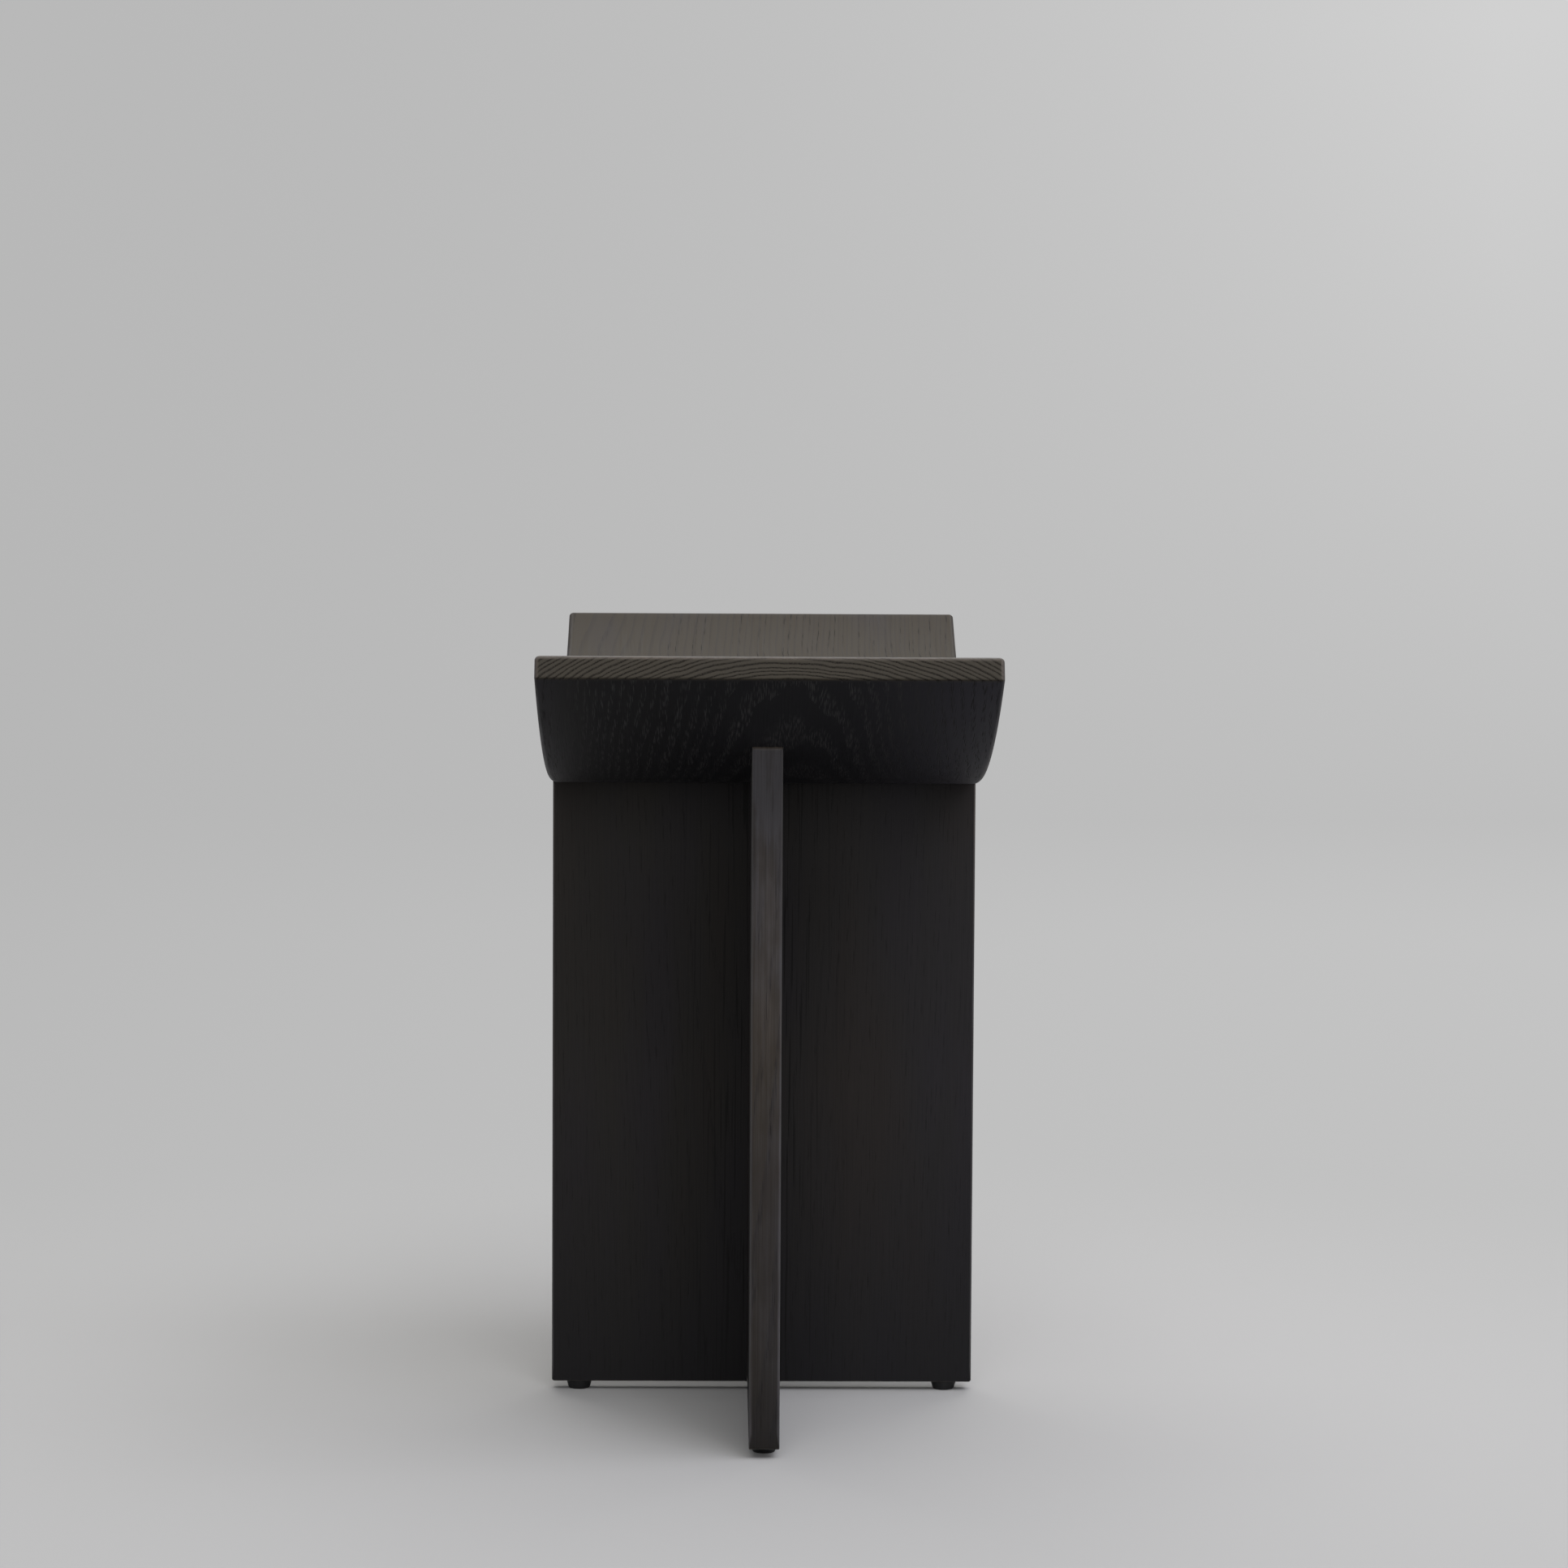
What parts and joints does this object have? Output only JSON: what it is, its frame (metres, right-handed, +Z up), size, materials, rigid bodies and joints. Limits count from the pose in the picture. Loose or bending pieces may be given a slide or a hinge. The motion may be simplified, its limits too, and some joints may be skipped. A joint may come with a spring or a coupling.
{
  "type": "saddle stool",
  "caption": "Stool with a saddle-curved board seat on a cross of interlocked upright panels, standing on small tapered feet.",
  "frame": {"origin": "on the floor under the middle of the stool", "axes": "+X across the seat, +Y along the seat and +Z up"},
  "size_m": [0.2488, 0.5992, 0.45],
  "materials": {
    "stained_oak": "matt black-brown stain over open-pored oak",
    "beech_dowel": "bare turned beech",
    "black_nylon": "moulded matt black",
    "zinc_steel": "zinc plated"
  },
  "bodies": {
    "root": {"seat": "stained_oak", "cross_panel": "stained_oak", "long_panel": "stained_oak", "cross_panel_dowels": "beech_dowel", "long_panel_dowels": "beech_dowel", "foot_left": "black_nylon", "foot_right": "black_nylon", "foot_front": "black_nylon", "foot_rear": "black_nylon", "foot_screws": "zinc_steel"}
  },
  "joints": []
}
